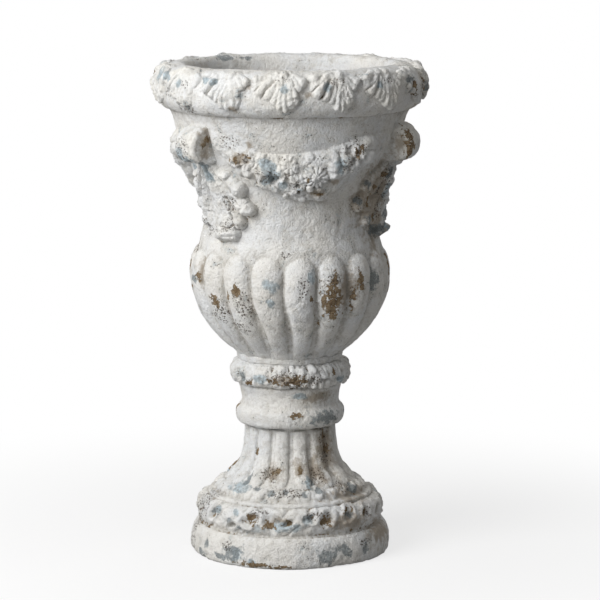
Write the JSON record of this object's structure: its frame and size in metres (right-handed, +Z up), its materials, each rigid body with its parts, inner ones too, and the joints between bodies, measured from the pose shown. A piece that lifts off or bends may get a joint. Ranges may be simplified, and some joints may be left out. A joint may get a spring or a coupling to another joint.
{
  "type": "pedestal urn planter",
  "caption": "Urn-shaped flower pot on a reeded pedestal, with a leaf-moulded rim, hanging garlands, acanthus leaves and a gadrooned belly.",
  "frame": {"origin": "middle of the pedestal's underside", "axes": "+Z up along the urn's axis; one garland faces -Y and one bracket +Y"},
  "size_m": [0.3269, 0.3256, 0.59],
  "materials": {
    "worn_paint": "chalky white paint worn to a brown casting, matte",
    "ornament_paint": "chalky white paint with blue grey washes, matte",
    "mortar": "rough lime mortar, matte"
  },
  "bodies": {
    "root": {"bowl": "worn_paint", "collar": "worn_paint", "pedestal": "worn_paint", "upper_mortar": "mortar", "lower_mortar": "mortar", "scroll_bracket_1": "ornament_paint", "scroll_bracket_2": "ornament_paint", "scroll_bracket_3": "ornament_paint", "acanthus_leaf_1": "ornament_paint", "acanthus_leaf_2": "ornament_paint", "acanthus_leaf_3": "ornament_paint", "garland_1": "ornament_paint", "garland_2": "ornament_paint", "garland_3": "ornament_paint", "rim_leaf_01": "ornament_paint", "rim_leaf_02": "ornament_paint", "rim_leaf_03": "ornament_paint", "rim_leaf_04": "ornament_paint", "rim_leaf_05": "ornament_paint", "rim_leaf_06": "ornament_paint", "rim_leaf_07": "ornament_paint", "rim_leaf_08": "ornament_paint", "rim_leaf_09": "ornament_paint", "rim_leaf_10": "ornament_paint", "rim_leaf_11": "ornament_paint", "rim_leaf_12": "ornament_paint", "rim_leaf_13": "ornament_paint", "rim_leaf_14": "ornament_paint", "rim_leaf_15": "ornament_paint"}
  },
  "joints": []
}
